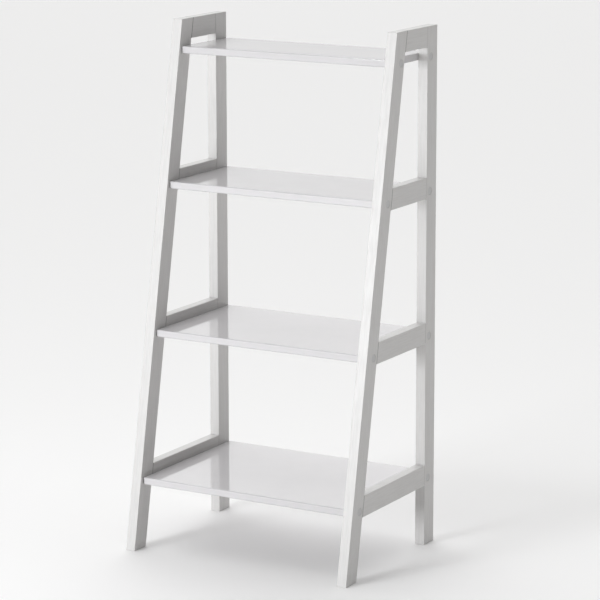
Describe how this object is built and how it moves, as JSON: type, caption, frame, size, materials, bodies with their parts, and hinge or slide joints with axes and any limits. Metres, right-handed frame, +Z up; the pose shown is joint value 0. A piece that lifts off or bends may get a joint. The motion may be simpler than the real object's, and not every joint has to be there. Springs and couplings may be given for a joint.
{
  "type": "ladder shelf",
  "caption": "Free-standing ladder shelf: leaning front legs and upright rear legs in two side frames, joined by fixed boards that grow deeper towards the floor.",
  "frame": {"origin": "on the floor, midway between the side frames and midway between the front of the front feet and the back of the rear legs", "axes": "+X to the right as seen from the front, +Y towards the back (the wall), +Z up"},
  "size_m": [0.53, 0.382, 1.1],
  "materials": {
    "frame_paint": "satin white paint over solid wood, with faint grain along each member",
    "shelf_lacquer": "glossy white lacquer on board",
    "cap_plastic": "satin off-white moulded plastic",
    "zinc_plate": "bright zinc plating"
  },
  "bodies": {
    "root": {"left_front_leg": "frame_paint", "left_rear_leg": "frame_paint", "left_top_rail": "frame_paint", "left_upper_rail": "frame_paint", "left_lower_rail": "frame_paint", "left_bottom_rail": "frame_paint", "right_front_leg": "frame_paint", "right_rear_leg": "frame_paint", "right_top_rail": "frame_paint", "right_upper_rail": "frame_paint", "right_lower_rail": "frame_paint", "right_bottom_rail": "frame_paint", "top_shelf": "shelf_lacquer", "upper_shelf": "shelf_lacquer", "lower_shelf": "shelf_lacquer", "bottom_shelf": "shelf_lacquer", "left_front_top_bolt": "zinc_plate", "left_front_top_cap": "cap_plastic", "left_front_upper_bolt": "zinc_plate", "left_front_upper_cap": "cap_plastic", "left_front_lower_bolt": "zinc_plate", "left_front_lower_cap": "cap_plastic", "left_front_bottom_bolt": "zinc_plate", "left_front_bottom_cap": "cap_plastic", "left_rear_top_bolt": "zinc_plate", "left_rear_top_cap": "cap_plastic", "left_rear_upper_bolt": "zinc_plate", "left_rear_upper_cap": "cap_plastic", "left_rear_lower_bolt": "zinc_plate", "left_rear_lower_cap": "cap_plastic", "left_rear_bottom_bolt": "zinc_plate", "left_rear_bottom_cap": "cap_plastic", "right_front_top_bolt": "zinc_plate", "right_front_top_cap": "cap_plastic", "right_front_upper_bolt": "zinc_plate", "right_front_upper_cap": "cap_plastic", "right_front_lower_bolt": "zinc_plate", "right_front_lower_cap": "cap_plastic", "right_front_bottom_bolt": "zinc_plate", "right_front_bottom_cap": "cap_plastic", "right_rear_top_bolt": "zinc_plate", "right_rear_top_cap": "cap_plastic", "right_rear_upper_bolt": "zinc_plate", "right_rear_upper_cap": "cap_plastic", "right_rear_lower_bolt": "zinc_plate", "right_rear_lower_cap": "cap_plastic", "right_rear_bottom_bolt": "zinc_plate", "right_rear_bottom_cap": "cap_plastic"}
  },
  "joints": []
}
